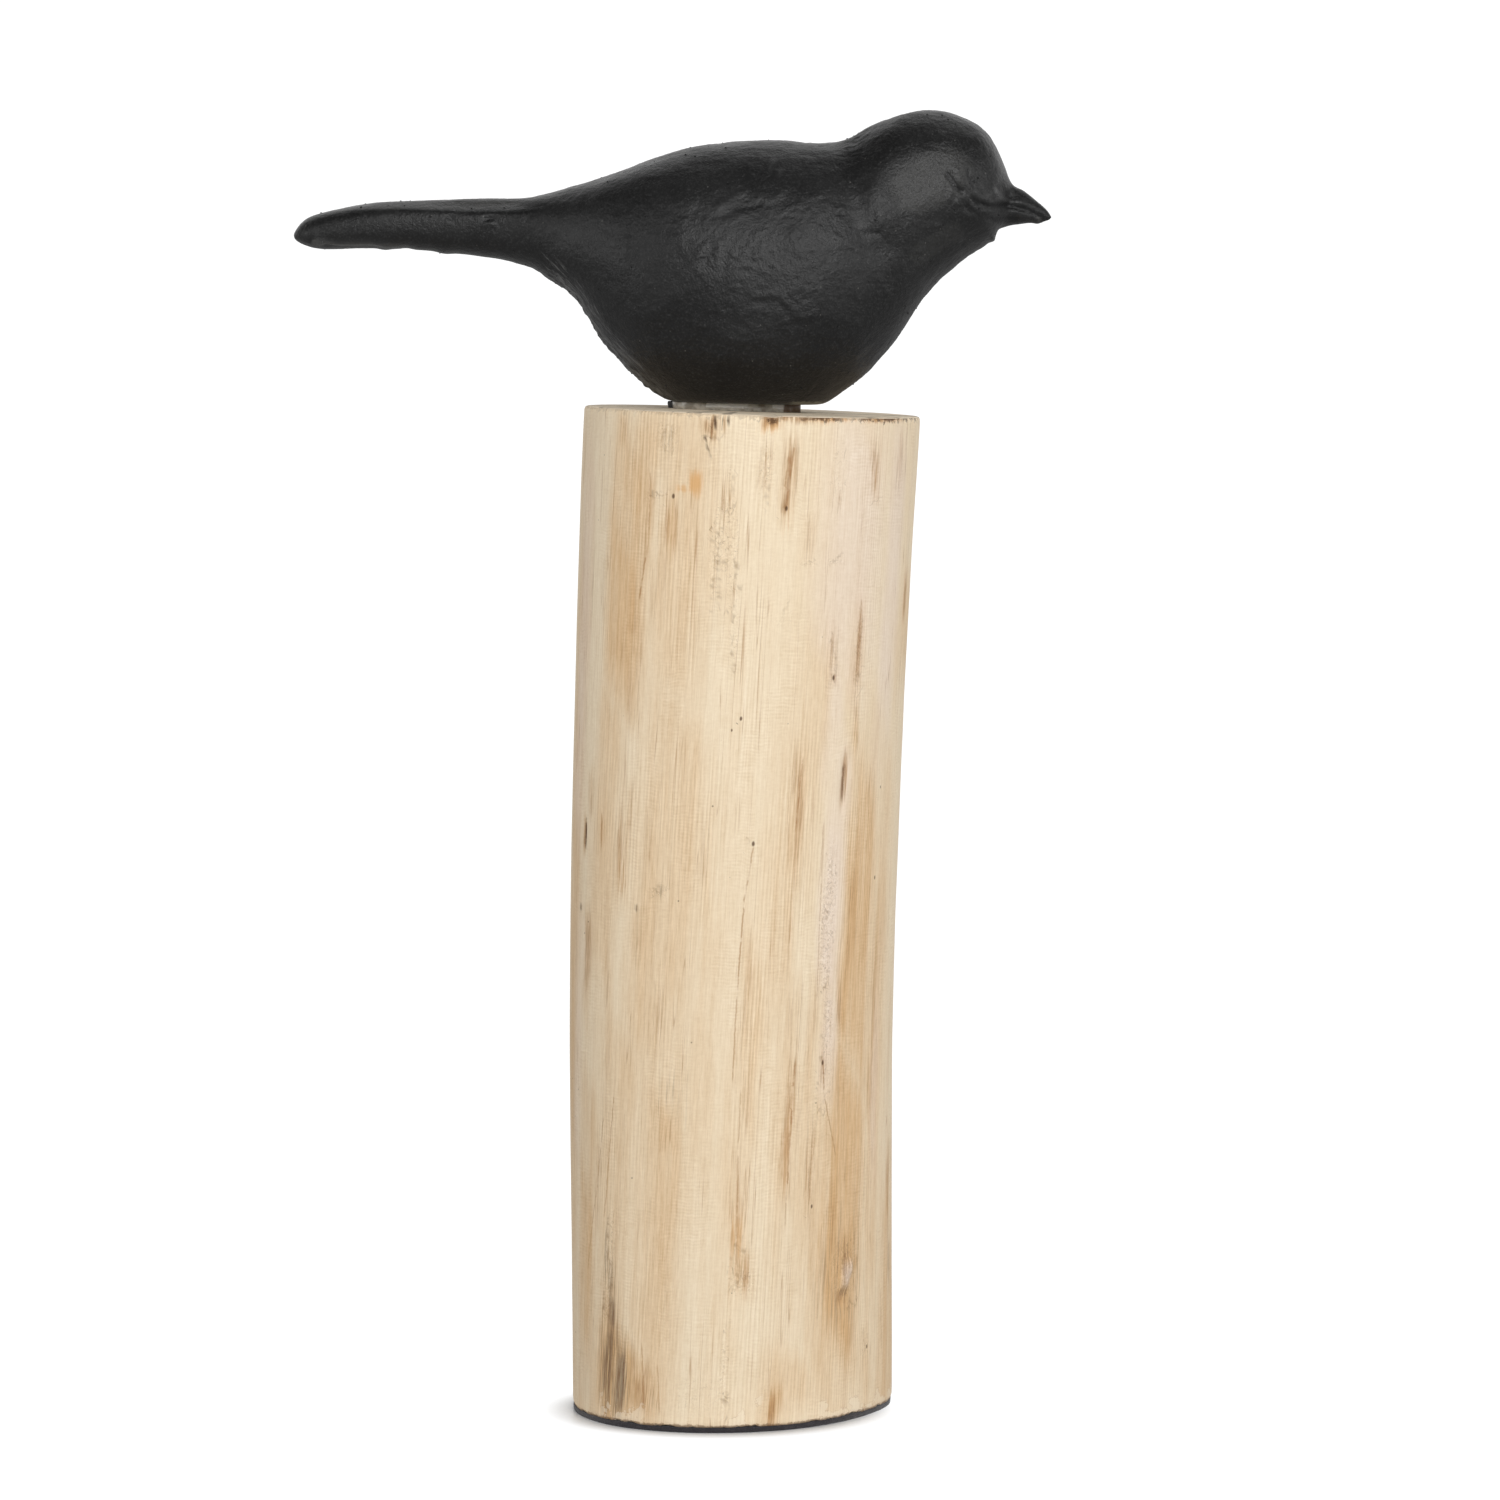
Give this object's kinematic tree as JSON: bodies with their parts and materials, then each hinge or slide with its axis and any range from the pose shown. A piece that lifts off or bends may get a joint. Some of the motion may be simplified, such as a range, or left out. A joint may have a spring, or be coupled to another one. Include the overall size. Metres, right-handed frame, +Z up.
{
  "type": "wooden bird sculpture",
  "caption": "Carved songbird painted matt black, standing flat on an upright length of peeled log with a thin pad under its foot.",
  "frame": {"origin": "centre of the pad's flat underside, on the log's axis at its foot, where the sculpture stands", "axes": "+Z up along the log, +X the way the bird faces, -Y the bird's right side"},
  "size_m": [0.2273, 0.1041, 0.3906],
  "materials": {
    "black_paint": "carved wood under matt black paint, lumpy and hand worked, with a faint sheen",
    "peeled_wood": "peeled, dried and sanded pale trunk with brown streaks, stains and fine fibre lines, bare or thinly waxed",
    "dried_glue": "dried grey-beige glue, dark at both ends",
    "black_felt": "thin black felt sheet, soft cut edge"
  },
  "bodies": {
    "root": {"bird": "black_paint", "log": "peeled_wood", "glue_pad": "dried_glue", "base_pad": "black_felt"}
  },
  "joints": []
}
